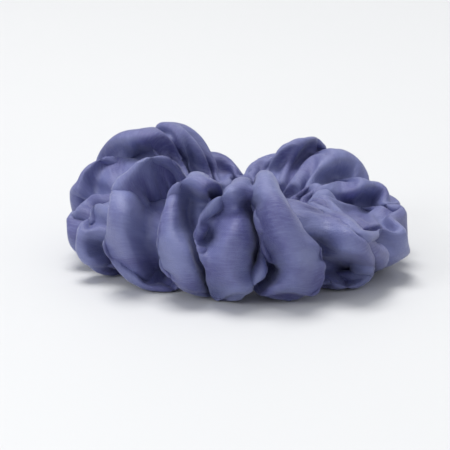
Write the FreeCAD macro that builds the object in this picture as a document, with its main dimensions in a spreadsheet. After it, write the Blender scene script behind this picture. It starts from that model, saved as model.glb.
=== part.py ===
import FreeCAD, Part
import Sketcher
import math
import os

# A satin scrunchie: one strip of cloth sewn into a tube, gathered on a joined loop of flat elastic.
# Millimetres. +Z is up, the loop lies flat round the Z axis, and its underside rests on Z = 0.
# +X points to the plain end of the loop; the elastic's join and the cover's closing seam are near -X.

SIZES = {
    # elastic
    "elastic_loop_radius": 29.0,    # middle of the band's thickness, relaxed
    "elastic_width": 8.0,
    "elastic_thickness": 1.2,
    "elastic_lap": 14.0,            # how far the band's ends overlap
    "elastic_ramp": 3.0,            # length over which the outer end climbs onto the inner one
    "elastic_join_angle": 176.0,
    # cover
    "tube_inset": 5.0,              # the elastic lies this far inside the middle of the cloth tube
    "tube_radius": 13.0,            # the cloth tube where it is drawn in between two puffs
    "tube_height": 18.0,            # its middle, above the surface that the scrunchie lies on
    "puff_outset": 5.5,             # the puffs' middles lie this far outside the tube's middle
    "puff_depth": 40.0,
    "puff_width": 29.0,
    "puff_height": 44.0,
    "puff_flat": 0.6,               # how far a puff's underside is flattened by what it lies on
    "cloth_wall": 1.2,              # the crumpled cloth, as one wall
    "long_allowance": 6.1,          # how far the long seam's allowances stand into the tube
    "closing_allowance": 4.0,
    "allowance_thickness": 0.8,     # two layers of cloth
    "band_clearance": 0.08,         # kept free round the elastic where the allowances reach it
    # thread
    "thread_radius": 0.18,
    "seam_stitch": 2.5,             # from one stitch of a seam to the next
    "seam_depth": 1.5,              # how far inside the cloth the seams run
    "closing_seam_angle": 197.0,
    "closing_seam_gap": 3.0,        # left unsewn on each side of the long seam
    "join_stitches": 4.0,           # in each of the join's two rows
    "join_row_gap": 4.4,
    "needle_clearance": 0.06,
}

# Each puff's place round the loop in degrees, then its width and height as shares of the usual puff's.
PUFFS = [
    (8, 0.90, 0.82),
    (36, 1.00, 0.93),
    (66, 1.00, 0.95),
    (112, 1.05, 1.02),
    (147, 1.10, 1.06),
    (181, 0.92, 0.86),
    (213, 1.00, 0.94),
    (245, 0.97, 0.95),
    (274, 0.95, 0.93),
    (303, 1.00, 0.94),
    (336, 0.97, 0.78),
]

OVERLAP = 0.3                       # how far pieces of one solid reach into each other before they are fused
LOOP_SHARE = 0.92                   # a loop of thread is this much of a stitch long
BIG = 400.0                         # a block that is larger than the whole scrunchie

doc = FreeCAD.newDocument("scrunchie")
sheet = doc.addObject("Spreadsheet::Sheet", "Sizes")
for row, (alias, value) in enumerate(SIZES.items(), start=1):
    sheet.set(f"A{row}", alias)
    sheet.set(f"B{row}", str(value))
    sheet.setAlias(f"B{row}", alias)
doc.recompute()


def size(alias):
    """A driving dimension, as a number."""
    return float(getattr(sheet, alias))


def add(kind, name, **bound):
    """An object of that kind whose named properties follow the expressions given."""
    made = doc.addObject(kind, name)
    for prop, expression in bound.items():
        made.setExpression(prop.replace("__", "."), expression)
    return made


def origin_feature(body, role):
    """A body's own origin plane or axis."""
    return next(feature for feature in body.Origin.OriginFeatures if feature.Role == role)


def turned(angle):
    """A rotation about Z, in degrees."""
    return FreeCAD.Rotation(FreeCAD.Vector(0, 0, 1), angle)


# ---- the cover's outer and inner skins ----

def skin(name, inset):
    """The gathered tube with its puffs, drawn in all over by the expression inset."""
    pieces = []
    for number, (angle, width_share, height_share) in enumerate(PUFFS):
        puff = add(
            "Part::Ellipsoid",
            f"{name}_puff_{number}",
            Radius1=f"Sizes.puff_height * {height_share} / 2 - {inset}",
            Radius2=f"Sizes.puff_depth / 2 - {inset}",
            Radius3=f"Sizes.puff_width * {width_share} / 2 - {inset}",
            Placement__Base__x="(Sizes.elastic_loop_radius + Sizes.tube_inset + Sizes.puff_outset)"
                               f" * cos({angle}deg)",
            Placement__Base__y="(Sizes.elastic_loop_radius + Sizes.tube_inset + Sizes.puff_outset)"
                               f" * sin({angle}deg)",
            Placement__Base__z=f"Sizes.puff_height * {height_share} / 2 - Sizes.puff_flat",
        )
        puff.Angle1, puff.Angle2, puff.Angle3 = -90, 90, 360
        puff.Placement.Rotation = turned(angle)
        pieces.append(puff)
    pieces.append(add(
        "Part::Torus",
        f"{name}_tube",
        Radius1="Sizes.elastic_loop_radius + Sizes.tube_inset",
        Radius2=f"Sizes.tube_radius - {inset}",
        Placement__Base__z="Sizes.tube_height",
    ))
    fused = doc.addObject("Part::MultiFuse", f"{name}_puffs_and_tube")
    fused.Shapes = pieces
    below = add(
        "Part::Box",
        f"{name}_below",
        Placement__Base__z=f"{inset} - {BIG}",
    )
    below.Length = below.Width = below.Height = BIG
    below.Placement.Base = FreeCAD.Vector(-BIG / 2, -BIG / 2, 0)
    flat = doc.addObject("Part::Cut", f"{name}_flattened")
    flat.Base, flat.Tool = fused, below
    return flat


# ---- stitches, each a loop of thread through the cloth ----

RING_RADIUS = "(Sizes.elastic_loop_radius + Sizes.tube_inset)"
LONG_SEAM_RADIUS = f"({RING_RADIUS} - Sizes.tube_radius + Sizes.cloth_wall + Sizes.seam_depth)"
CLOSING_SEAM_RADIUS = "(Sizes.tube_radius - Sizes.cloth_wall - Sizes.seam_depth)"
LAP_RADIUS = "(Sizes.elastic_loop_radius + Sizes.elastic_thickness / 2)"


FACING_OUT = FreeCAD.Rotation(FreeCAD.Vector(0, 1, 0), 90)
FACING_UP = FreeCAD.Rotation()


def seam(name, axis_role, radius, start, span, stitches, gaps, extra, facing=FACING_OUT, heights=("0",)):
    """Loops of thread along an arc about one of the seam's own axes.

    The arc has the expression radius, starts at the turn start and covers span degrees. stitches is
    how many loops there are, gaps how many steps they cover, facing which way each loop faces, and
    heights where each row of them is. The thread is thicker by the expression extra.
    """
    body = doc.addObject("PartDesign::Body", name)
    body.AllowCompound = True
    loops = []
    for row, height in enumerate(heights):
        loop = body.newObject("PartDesign::AdditiveTorus", f"{name}_loop_{row}")
        loop.setExpression("Radius1", f"{LOOP_SHARE} * pi * {radius} * {span} / 360 / ({gaps})")
        loop.setExpression("Radius2", f"Sizes.thread_radius + {extra}")
        loop.Placement.Rotation = start.multiply(facing)
        outward = start.multVec(FreeCAD.Vector(1, 0, 0))
        for axis, share, offset in zip("xyz", outward, ("0", "0", height)):
            loop.setExpression(f"Placement.Base.{axis}", f"{radius} * {share} + {offset}")
        loops.append(loop)
    doc.recompute()
    pattern = body.newObject("PartDesign::PolarPattern", f"{name}_pattern")
    pattern.Originals = loops
    pattern.Axis = (origin_feature(body, axis_role), [""])
    pattern.Angle = span
    pattern.setExpression("Occurrences", stitches)
    body.Tip = pattern
    return body


def long_seam(name, extra="0"):
    """The long seam, which runs round the loop on the side of the hole."""
    count = f"round(2 * pi * {LONG_SEAM_RADIUS} / Sizes.seam_stitch)"
    body = seam(name, "Z_Axis", LONG_SEAM_RADIUS, turned(0), 360, count, count, extra)
    body.setExpression("Placement.Base.z", "Sizes.tube_height")
    return body


def closing_seam(name, extra="0"):
    """The closing seam, which runs round the tube where its two ends meet."""
    radius = size("tube_radius") - size("cloth_wall") - size("seam_depth")
    gap = math.degrees(size("closing_seam_gap") / radius)
    start = FreeCAD.Rotation(FreeCAD.Vector(0, 1, 0), 180 + gap)
    span = 360 - 2 * gap
    steps = f"round(pi * {CLOSING_SEAM_RADIUS} * {span} / 180 / Sizes.seam_stitch)"
    body = seam(name, "Y_Axis", CLOSING_SEAM_RADIUS, start, span, f"{steps} + 1", steps, extra)
    place_at_closing_seam(body)
    return body


def place_at_closing_seam(thing, off_plane=0.0):
    """Puts a thing on the tube's middle at the closing seam, with its own X pointing outwards.

    off_plane is how far along its own Y it is moved, in allowance thicknesses.
    """
    angle = math.radians(size("closing_seam_angle"))
    thing.Placement.Rotation = turned(size("closing_seam_angle")).multiply(thing.Placement.Rotation)
    thing.setExpression(
        "Placement.Base.x",
        f"{RING_RADIUS} * {math.cos(angle)}"
        f" - Sizes.allowance_thickness * {off_plane * math.sin(angle)}",
    )
    thing.setExpression(
        "Placement.Base.y",
        f"{RING_RADIUS} * {math.sin(angle)}"
        f" + Sizes.allowance_thickness * {off_plane * math.cos(angle)}",
    )
    thing.setExpression("Placement.Base.z", "Sizes.tube_height")


def elastic_join(name, extra="0"):
    """Two rows of stitches through both layers of the elastic's lapped ends."""
    span = 0.7 * math.degrees(size("elastic_lap") / size("elastic_loop_radius"))
    rows = [f"{side} * Sizes.join_row_gap / 2" for side in (-1, 1)]
    body = seam(
        name, "Z_Axis", LAP_RADIUS, turned(-span / 2), span,
        "Sizes.join_stitches", "Sizes.join_stitches - 1", extra, FACING_UP, rows,
    )
    body.Placement.Rotation = turned(size("elastic_join_angle"))
    body.setExpression("Placement.Base.z", "Sizes.tube_height")
    return body


# ---- the elastic ----

def elastic_strip():
    """The band as a loop, with its outer end climbing over the inner one."""
    body = doc.addObject("PartDesign::Body", "elastic_strip")
    plane = (origin_feature(body, "XY_Plane"), [""])
    ring = body.newObject("Sketcher::SketchObject", "elastic_ring_sketch")
    ring.AttachmentSupport, ring.MapMode = plane, "FlatFace"
    up = FreeCAD.Vector(0, 0, 1)
    centre = FreeCAD.Vector(0, 0, 0)
    for side, sign in (("outer", "+"), ("inner", "-")):
        edge = ring.addGeometry(Part.Circle(centre, up, size("elastic_loop_radius")), False)
        ring.addConstraint(Sketcher.Constraint("Coincident", edge, 3, -1, 1))
        radius = ring.addConstraint(Sketcher.Constraint("Radius", edge, size("elastic_loop_radius")))
        ring.renameConstraint(radius, f"{side}_radius")
        ring.setExpression(
            f"Constraints.{side}_radius",
            f"Sizes.elastic_loop_radius {sign} Sizes.elastic_thickness / 2",
        )
    pad_of_width(body, ring, "elastic_ring")

    lap = body.newObject("Sketcher::SketchObject", "elastic_lap_sketch")
    lap.AttachmentSupport, lap.MapMode = plane, "FlatFace"
    on_ring = size("elastic_loop_radius") + size("elastic_thickness") / 2
    outside = on_ring + size("elastic_thickness")
    half = size("elastic_lap") / 2 / size("elastic_loop_radius")
    ramp = size("elastic_ramp") / size("elastic_loop_radius")
    inner_arc = Part.ArcOfCircle(Part.Circle(centre, up, on_ring - OVERLAP), -half, half + ramp)
    outer_arc = Part.ArcOfCircle(Part.Circle(centre, up, outside), -half, half)
    square_end = Part.LineSegment(inner_arc.StartPoint, outer_arc.StartPoint)
    sloping_end = Part.LineSegment(outer_arc.EndPoint, inner_arc.EndPoint)
    lap.addGeometry([inner_arc, outer_arc, square_end, sloping_end], False)
    lap.addConstraint([
        Sketcher.Constraint("Coincident", 2, 1, 0, 1),
        Sketcher.Constraint("Coincident", 2, 2, 1, 1),
        Sketcher.Constraint("Coincident", 3, 1, 1, 2),
        Sketcher.Constraint("Coincident", 3, 2, 0, 2),
        Sketcher.Constraint("Coincident", 0, 3, -1, 1),
        Sketcher.Constraint("Coincident", 1, 3, -1, 1),
    ])
    pad_of_width(body, lap, "elastic_lap_layer")
    body.Placement.Rotation = turned(size("elastic_join_angle"))
    body.setExpression("Placement.Base.z", "Sizes.tube_height")
    return body


def pad_of_width(body, sketch, name):
    """Pads a sketch to the elastic's width, half each way."""
    doc.recompute()
    pad = body.newObject("PartDesign::Pad", name)
    pad.Profile = sketch
    pad.Midplane = True
    pad.setExpression("Length", "Sizes.elastic_width")
    body.Tip = pad
    doc.recompute()


# ---- the nodes ----

def washer(name, outer, inner):
    """A flat ring as thick as a seam's allowances."""
    disc = add("Part::Cylinder", f"{name}_disc", Radius=outer, Height="Sizes.allowance_thickness")
    hole = add("Part::Cylinder", f"{name}_hole", Radius=inner, Height="Sizes.allowance_thickness")
    made = doc.addObject("Part::Cut", name)
    made.Base, made.Tool = disc, hole
    return made


def band_room():
    """The ring of space that the elastic and its lap take up, with the clearance round them."""
    height = "Sizes.elastic_width + 2 * Sizes.band_clearance"
    disc = add(
        "Part::Cylinder",
        "band_room_disc",
        Radius="Sizes.elastic_loop_radius + Sizes.elastic_thickness * 1.5 + Sizes.band_clearance",
        Height=height,
    )
    hole = add(
        "Part::Cylinder",
        "band_room_hole",
        Radius="Sizes.elastic_loop_radius - Sizes.elastic_thickness / 2 - Sizes.band_clearance",
        Height=height,
    )
    room = doc.addObject("Part::Cut", "band_room")
    room.Base, room.Tool = disc, hole
    room.setExpression(
        "Placement.Base.z", "Sizes.tube_height - Sizes.elastic_width / 2 - Sizes.band_clearance"
    )
    return room


def fabric_cover():
    """The sewn tube: its wall, and the allowances of its two seams with their needle holes."""
    outside = skin("outer", "0")
    wall = doc.addObject("Part::Cut", "cover_wall")
    wall.Base, wall.Tool = outside, skin("inner", "Sizes.cloth_wall")

    inner_face = f"{RING_RADIUS} - Sizes.tube_radius + Sizes.cloth_wall"
    long_pair = washer(
        "long_allowances",
        outer=f"{inner_face} + Sizes.long_allowance",
        inner=f"{inner_face} - Sizes.tube_radius / 2",
    )
    long_pair.setExpression(
        "Placement.Base.z", "Sizes.tube_height - Sizes.allowance_thickness / 2"
    )
    closing_pair = washer(
        "closing_allowances",
        outer="Sizes.tube_radius * 1.5",
        inner="Sizes.tube_radius - Sizes.cloth_wall - Sizes.closing_allowance",
    )
    closing_pair.Placement.Rotation = FreeCAD.Rotation(FreeCAD.Vector(1, 0, 0), 90)
    place_at_closing_seam(closing_pair, off_plane=0.5)

    pairs = doc.addObject("Part::MultiFuse", "allowances")
    pairs.Shapes = [long_pair, closing_pair]
    clear = doc.addObject("Part::Cut", "allowances_clear_of_band")
    clear.Base, clear.Tool = pairs, band_room()
    inside = doc.addObject("Part::Common", "allowances_in_cover")
    inside.Base, inside.Tool = clear, outside
    holes = doc.addObject("Part::MultiFuse", "needle_holes")
    holes.Shapes = [
        long_seam("long_needle_holes", "Sizes.needle_clearance"),
        closing_seam("closing_needle_holes", "Sizes.needle_clearance"),
    ]
    holed = doc.addObject("Part::Cut", "allowances_with_holes")
    holed.Base, holed.Tool = inside, holes

    cover = doc.addObject("Part::MultiFuse", "fabric_cover")
    cover.Shapes = [wall, holed]
    return cover


def elastic_band():
    """The elastic loop with the needle holes of its join."""
    band = doc.addObject("Part::Cut", "elastic_band")
    band.Base = elastic_strip()
    band.Tool = elastic_join("join_needle_holes", "Sizes.needle_clearance")
    return band


def main():
    """Builds every node, checks the document, and writes one STEP file for each."""
    nodes = [
        fabric_cover(),
        elastic_band(),
        elastic_join("elastic_join_stitching"),
        closing_seam("closing_seam_thread"),
        long_seam("long_seam_thread"),
    ]
    doc.recompute()
    for made in doc.Objects:
        if {"Invalid", "Error"} & set(made.State):
            raise RuntimeError(f"{made.Label} didn't compute: {made.State}")
    os.makedirs("parts", exist_ok=True)
    for node in nodes:
        shape = node.Shape
        if shape.isNull() or not shape.isValid():
            raise RuntimeError(f"{node.Label} has no valid shape")
        print(f"{node.Label}: {len(shape.Solids)} solid(s), {shape.Volume:.1f} mm3")
        shape.exportStep(os.path.join("parts", node.Label + ".step"))


main()
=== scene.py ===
import logging
import math
from dataclasses import dataclass, field, replace
from enum import Enum
from functools import partial
from typing import Iterable, Sequence

import bpy
import numpy as np
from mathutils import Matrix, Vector


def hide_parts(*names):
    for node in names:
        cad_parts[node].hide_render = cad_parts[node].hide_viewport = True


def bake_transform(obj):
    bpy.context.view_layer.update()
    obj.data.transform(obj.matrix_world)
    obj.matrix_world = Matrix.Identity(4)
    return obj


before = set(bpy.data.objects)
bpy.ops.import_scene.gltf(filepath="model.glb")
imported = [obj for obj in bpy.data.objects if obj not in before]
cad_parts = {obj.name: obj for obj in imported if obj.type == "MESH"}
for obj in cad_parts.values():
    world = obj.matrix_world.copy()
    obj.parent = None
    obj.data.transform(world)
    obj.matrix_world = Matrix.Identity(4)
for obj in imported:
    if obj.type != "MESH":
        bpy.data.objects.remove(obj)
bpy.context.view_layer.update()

LOG = logging.getLogger("scrunchie")
MM = 0.001

# the elastic's loop, and the room that a crease leaves round it
BAND_RADIUS = 29.0 * MM
BAND_HEIGHT = 18.0 * MM
BAND_ROOM = 7.0 * MM

# the strip of satin from seam to seam, and the lowest that it lies above the table
CUT_LENGTH = 0.47
CUT_WIDTH = 0.122
CLOTH_FLOOR = 0.6 * MM

# over how many millimetres of depth a crease fades out, and how the cloth's facing lets it in
REACH_FADE = 4.0
FACING_FADE = 0.35
FACING_START = 0.3


class Body(str, Enum):
    """The rigid bodies of the loop: the loop itself and its joined end."""

    LOOP = "loop"
    JOINED_END = "joined_end"


class Slot(str, Enum):
    """The record's material slots."""

    SATIN = "satin"
    ELASTIC = "elastic"
    THREAD = "thread"
    ELASTIC_THREAD = "elastic_thread"


# ---------------------------------------------------------------- finishes


def feed_socket(tree: bpy.types.NodeTree, socket: bpy.types.NodeSocket, value: object) -> None:
    """Links value into a socket if it is a socket itself, and sets it there otherwise."""
    if isinstance(value, bpy.types.NodeSocket):
        tree.links.new(value, socket)
    else:
        socket.default_value = value


def add_node(
    tree: bpy.types.NodeTree, kind: str, feeds: dict[str | int, object] | None = None, **settings: object
) -> bpy.types.Node:
    """Adds a node to a tree, sets it, and feeds its inputs.

    Args:
        tree: the node tree.
        kind: the node's bl_idname.
        feeds: socket name or index to a value, or to an output socket to link from.
        settings: properties of the node itself.

    Returns:
        The new node.
    """
    made = tree.nodes.new(kind)
    for key, value in settings.items():
        setattr(made, key, value)
    for key, value in (feeds or {}).items():
        feed_socket(tree, made.inputs[key], value)
    return made


class NodeBench:
    """A small helper that builds one material out of shader nodes."""

    def __init__(self, name: str) -> None:
        """Starts an empty node material.

        Args:
            name: the material's name.
        """
        self.material = bpy.data.materials.new(name)
        self.material.use_nodes = True
        self.tree = self.material.node_tree
        self.shader = self.tree.nodes["Principled BSDF"]

    def node(
        self, kind: str, inputs: dict[str | int, object] | None = None, **settings: object
    ) -> bpy.types.Node:
        """Adds one node.

        Args:
            kind: the node's bl_idname.
            inputs: socket name or index to a value, or to an output socket to link from.
            settings: properties of the node itself.

        Returns:
            The new node.
        """
        return add_node(self.tree, kind, inputs, **settings)

    def feed(self, name: str, value: object) -> None:
        """Feeds one of the surface's own inputs."""
        feed_socket(self.tree, self.shader.inputs[name], value)

    def maths(self, operation: str, first: object, second: object = 0.0) -> bpy.types.NodeSocket:
        """One Math node's result."""
        return self.node("ShaderNodeMath", {0: first, 1: second}, operation=operation).outputs[0]

    def rescale(
        self, value: object, low: float, high: float, to_low: float, to_high: float
    ) -> bpy.types.NodeSocket:
        """Maps value from low..high to to_low..to_high, held within them."""
        made = self.node("ShaderNodeMapRange", {0: value, 1: low, 2: high, 3: to_low, 4: to_high})
        return made.outputs[0]

    def blend(self, share: object, first: object, second: object) -> bpy.types.NodeSocket:
        """A colour between first and second."""
        feeds = {0: share, 6: first, 7: second}
        return self.node("ShaderNodeMix", feeds, data_type="RGBA", clamp_factor=True).outputs[2]

    def raise_bump(
        self, height: object, strength: float, distance: float, under: object = None
    ) -> bpy.types.NodeSocket:
        """A normal from a height, laid over another normal if one is given."""
        feeds = {"Strength": strength, "Distance": distance, "Height": height}
        if under is not None:
            feeds["Normal"] = under
        return self.node("ShaderNodeBump", feeds).outputs[0]


@dataclass(frozen=True)
class Satin:
    """Light satin with a fine slanting twill, a soft sheen, faint slubs flecked with painted sheen, and
    painted shade at the seams.
    """

    shade: tuple[float, float, float, float] = (0.086, 0.088, 0.256, 1.0)
    light: tuple[float, float, float, float] = (0.156, 0.174, 0.370, 1.0)
    # painted shade: the dark blue laid along both seams for the shade in their ditch
    deep: tuple[float, float, float, float] = (0.045, 0.042, 0.130, 1.0)
    # painted sheen: the paler, greyer blue that the slub streaks are flecked with, standing in for
    # highlights
    bright: tuple[float, float, float, float] = (0.200, 0.222, 0.430, 1.0)
    twill_pitch: float = 0.42 * MM

    def build(self) -> bpy.types.Material:
        """Makes the material. Its pattern follows the UV map weave, which is in metres of flat cloth.

        Returns:
            The material.
        """
        bench = NodeBench("satin")
        uv = bench.node("ShaderNodeUVMap", uv_map="weave").outputs[0]
        split = bench.node("ShaderNodeSeparateXYZ", {0: uv})
        along, across = split.outputs[0], split.outputs[1]

        slant = bench.maths("ADD", along, bench.maths("MULTIPLY", across, 0.62))
        twill = bench.maths("SINE", bench.maths("MULTIPLY", slant, 2 * math.pi / self.twill_pitch))
        weft = bench.maths("SINE", bench.maths("MULTIPLY", across, 2 * math.pi / (self.twill_pitch * 0.55)))
        slubs = self.mottle(bench, uv, (260.0, 1700.0, 1.0), detail=3.0)
        clouds = self.mottle(bench, uv, (55.0, 70.0, 1.0), detail=4.0)
        crumple = self.mottle(bench, uv, (150.0, 230.0, 1.0), detail=3.0, distortion=0.8)

        mottled = bench.blend(bench.rescale(clouds, 0.40, 0.62, 0.0, 1.0), self.shade, self.light)
        # the slub streaks flecked towards bright: real slub texture, their pale colour a painted sheen
        sheen_flecked = bench.blend(bench.rescale(slubs, 0.45, 0.72, 0.0, 0.45), mottled, self.bright)
        specks = bench.node("ShaderNodeTexNoise", {"Vector": uv, "Scale": 2300.0, "Detail": 2.0})
        # painted shade: the colour is darkened towards deep near both seams, where the ditch lies in shade
        seam = self.nearness(bench, along, across)
        bench.feed("Base Color", bench.blend(seam, sheen_flecked, self.deep))
        rough = bench.rescale(slubs, 0.3, 0.7, 0.34, 0.50)
        bench.feed("Roughness", rough)
        bench.feed("Specular IOR Level", 0.6)
        bench.feed("Sheen Weight", 0.35)
        bench.feed("Sheen Roughness", 0.35)
        bench.feed("Sheen Tint", (0.72, 0.76, 1.0, 1.0))
        bench.feed("Anisotropic", 0.55)
        along_weave = bench.node("ShaderNodeTangent", direction_type="UV_MAP", uv_map="weave").outputs[0]
        bench.feed("Tangent", along_weave)

        lines = bench.maths("ADD", bench.maths("MULTIPLY", twill, 0.7), bench.maths("MULTIPLY", weft, 0.3))
        soft = bench.raise_bump(crumple, 0.35, 1.2 * MM)
        woven = bench.raise_bump(lines, 0.35, 0.10 * MM, soft)
        slubbed = bench.raise_bump(slubs, 0.6, 0.20 * MM, woven)
        glinting = bench.raise_bump(specks.outputs[0], 0.9, 0.22 * MM, slubbed)
        bench.feed("Normal", glinting)
        return bench.material

    def mottle(
        self, bench: NodeBench, uv: object, scale: tuple[float, float, float], detail: float,
        distortion: float = 0.0,
    ) -> bpy.types.NodeSocket:
        """Noise drawn out by a different factor along the strip and across it.

        Args:
            bench: the material's node bench.
            uv: the socket that holds the place on the flat cloth.
            scale: spots per metre along the strip and across it.
            detail: how many finer layers the noise has.
            distortion: how much it is swirled.

        Returns:
            The socket that holds the noise.
        """
        place = bench.node("ShaderNodeMapping", {"Vector": uv, "Scale": scale}, vector_type="POINT")
        feeds = {"Vector": place.outputs[0], "Scale": 1.0, "Detail": detail, "Distortion": distortion}
        return bench.node("ShaderNodeTexNoise", feeds).outputs[0]

    def nearness(self, bench: NodeBench, along: object, across: object) -> bpy.types.NodeSocket:
        """How near a point is to either seam, from 0 to 1, so that painted shade darkens the ditch there.

        Args:
            bench: the material's node bench.
            along: distance along the strip.
            across: distance across it.

        Returns:
            The socket that holds the nearness.
        """
        far_end = bench.maths("MINIMUM", along, bench.maths("SUBTRACT", CUT_LENGTH, along))
        far_edge = bench.maths("MINIMUM", across, bench.maths("SUBTRACT", CUT_WIDTH, across))
        closest = bench.maths("MINIMUM", far_end, far_edge)
        return bench.rescale(closest, 0.15 * MM, 0.9 * MM, 0.85, 0.0)


@dataclass(frozen=True)
class Yarn:
    """Spun thread, with a twist that shows as fine slanting ridges."""

    name: str
    colour: tuple[float, float, float, float]
    pale: tuple[float, float, float, float]

    def build(self) -> bpy.types.Material:
        """Makes the material.

        Returns:
            The material.
        """
        bench = NodeBench(self.name)
        place = bench.node("ShaderNodeTexCoord").outputs["Object"]
        twist = {"Vector": place, "Scale": 900.0, "Distortion": 1.5}
        ply = bench.node("ShaderNodeTexWave", twist, bands_direction="DIAGONAL")
        fuzz = bench.node("ShaderNodeTexNoise", {"Vector": place, "Scale": 2600.0, "Detail": 2.0})
        bench.feed("Base Color", bench.blend(ply.outputs[1], self.colour, self.pale))
        bench.feed("Roughness", bench.rescale(fuzz.outputs[0], 0.3, 0.7, 0.55, 0.8))
        bench.feed("Sheen Weight", 0.3)
        bench.feed("Normal", bench.raise_bump(ply.outputs[1], 0.4, 0.05 * MM))
        return bench.material


@dataclass(frozen=True)
class WovenElastic:
    """Off-white elastic: covered rubber cords with the weft that binds them."""

    colour: tuple[float, float, float, float] = (0.72, 0.70, 0.64, 1.0)
    shaded: tuple[float, float, float, float] = (0.42, 0.40, 0.36, 1.0)

    def build(self) -> bpy.types.Material:
        """Makes the material.

        Returns:
            The material.
        """
        bench = NodeBench("woven_elastic")
        place = bench.node("ShaderNodeTexCoord").outputs["Object"]
        split = bench.node("ShaderNodeSeparateXYZ", {0: place})
        turn = bench.maths("ARCTAN2", split.outputs[1], split.outputs[0])
        weft = bench.maths("SINE", bench.maths("MULTIPLY", turn, 29.0 / 0.7 * 2 * math.pi))
        cords = bench.maths("SINE", bench.maths("MULTIPLY", split.outputs[2], 2 * math.pi / MM))
        weave = bench.maths("MULTIPLY", weft, cords)
        fuzz = bench.node("ShaderNodeTexNoise", {"Vector": place, "Scale": 1400.0, "Detail": 3.0})
        tone = bench.maths("MULTIPLY", bench.rescale(weave, -1.0, 1.0, 0.0, 0.6), fuzz.outputs[0])
        bench.feed("Base Color", bench.blend(tone, self.colour, self.shaded))
        bench.feed("Roughness", bench.rescale(fuzz.outputs[0], 0.3, 0.7, 0.65, 0.85))
        bench.feed("Sheen Weight", 0.2)
        bench.feed("Normal", bench.raise_bump(weave, 0.5, 0.12 * MM))
        return bench.material


@dataclass(frozen=True)
class PaleTable:
    """The pale, slightly uneven surface that the scrunchie lies on."""

    colour: tuple[float, float, float, float] = (0.68, 0.685, 0.69, 1.0)
    worn: tuple[float, float, float, float] = (0.665, 0.67, 0.675, 1.0)

    def build(self) -> bpy.types.Material:
        """Makes the material.

        Returns:
            The material.
        """
        bench = NodeBench("pale_table")
        place = bench.node("ShaderNodeTexCoord").outputs["Object"]
        cloud = bench.node("ShaderNodeTexNoise", {"Vector": place, "Scale": 3.0, "Detail": 2.0})
        bench.feed("Base Color", bench.blend(cloud.outputs[0], self.colour, self.worn))
        bench.feed("Roughness", 0.62)
        return bench.material


# ---------------------------------------------------------------- the gathered cloth


@dataclass(frozen=True)
class Puff:
    """One puff of the gathered tube. Lengths are in millimetres and turns in degrees."""

    turn: float
    top: float
    reach: float
    tuck: float
    billow: float
    lean: float


class Reach(Enum):
    """Which cloth a crease moves: the lowest and highest Y, in millimetres."""

    FRONT = (-62.0, -12.0)
    REAR = (-10.0, 62.0)
    LEFT_END = (-50.0, 30.0)
    LEFT_SIDE = (-40.0, 60.0)
    RIGHT_END = (-40.0, 30.0)
    RIGHT_SIDE = (-20.0, 62.0)


@dataclass(frozen=True)
class Crease:
    """A fold or hollow as it is seen from in front: a line, its half-width and how deep it goes.

    Lengths are in millimetres, and a negative depth is a crest. Crisp is how many times deeper than
    an ordinary crease it is pressed when the cloth has settled.
    """

    line: tuple[tuple[float, float], ...]
    width: float
    depth: float
    reach: Reach
    crisp: float = 1.0

    def pressed(self, widening: float, deepening: float) -> "Crease":
        """The crease made wider and deeper, to a tenth of a millimetre.

        Args:
            widening: what its width is multiplied by.
            deepening: what its depth is multiplied by.

        Returns:
            The new crease.
        """
        width, depth = round(self.width * widening, 1), round(self.depth * deepening, 1)
        return replace(self, width=width, depth=depth)


@dataclass(frozen=True)
class FrontView:
    """The view from in front that the creases are drawn in. Lengths are in millimetres."""

    aim: tuple[float, float, float] = (-5.3, 0.0, 13.8)
    distance: float = 650.0
    elevation: float = 15.0

    def look(self) -> np.ndarray:
        """The direction of view."""
        tilt = math.radians(self.elevation)
        return np.array([0.0, math.cos(tilt), -math.sin(tilt)])

    def seen(self, spots: np.ndarray) -> np.ndarray:
        """Where points in metres are seen: across and up, in millimetres at the aim's distance."""
        off = spots / MM - np.array(self.aim)
        tilt = math.radians(self.elevation)
        up = off @ np.array([0.0, math.sin(tilt), math.cos(tilt)])
        nearer = self.distance / (self.distance + off @ self.look())
        return np.stack([off[..., 0] * nearer, up * nearer], -1)


def off_line(spots: np.ndarray, line: Sequence[tuple[float, float]]) -> np.ndarray:
    """How far flat points are from a broken line.

    Args:
        spots: the points, as an array whose last axis has two numbers.
        line: the line's corners.

    Returns:
        The distances.
    """
    best = np.full(spots.shape[:-1], 1e9)
    for begin, end in zip(line, line[1:]):
        start, run = np.array(begin), np.array(end) - np.array(begin)
        share = np.clip(((spots - start) @ run) / (run @ run), 0, 1)
        best = np.minimum(best, np.linalg.norm(spots - start - share[..., None] * run, axis=-1))
    return best


def grid_outward(grid: np.ndarray) -> np.ndarray:
    """The outward direction at every point of a grid that closes both ways.

    Args:
        grid: points as an array of along x around x 3.

    Returns:
        Unit vectors in an array of the same shape.
    """
    along = np.roll(grid, -1, 0) - np.roll(grid, 1, 0)
    around = np.roll(grid, -1, 1) - np.roll(grid, 1, 1)
    facing = np.cross(around, along)
    return facing / (np.linalg.norm(facing, axis=-1, keepdims=True) + 1e-12)


def finer_grid(grid: np.ndarray) -> np.ndarray:
    """Doubles a closed grid both ways with smooth in-between points.

    Args:
        grid: points as an array of along x around x 3.

    Returns:
        The finer grid, whose even rows and columns are the old points.
    """
    for axis in (0, 1):
        beyond = np.roll(grid, 1, axis), np.roll(grid, -2, axis)
        between = (9 * (grid + np.roll(grid, -1, axis)) - beyond[0] - beyond[1]) / 16
        both = np.stack([grid, between], axis + 1)
        shape = list(grid.shape)
        shape[axis] *= 2
        grid = both.reshape(shape)
    return grid


def eased(depths: np.ndarray, times: int) -> np.ndarray:
    """Depths over the cloth with the steps between neighbouring points averaged out.

    Args:
        depths: a depth at each point, along x around.
        times: how many times each is averaged with its neighbours.

    Returns:
        The eased depths.
    """
    for _ in range(times):
        for way in (0, 1):
            depths = (np.roll(depths, 1, way) + 2 * depths + np.roll(depths, -1, way)) / 4
    return depths


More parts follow.
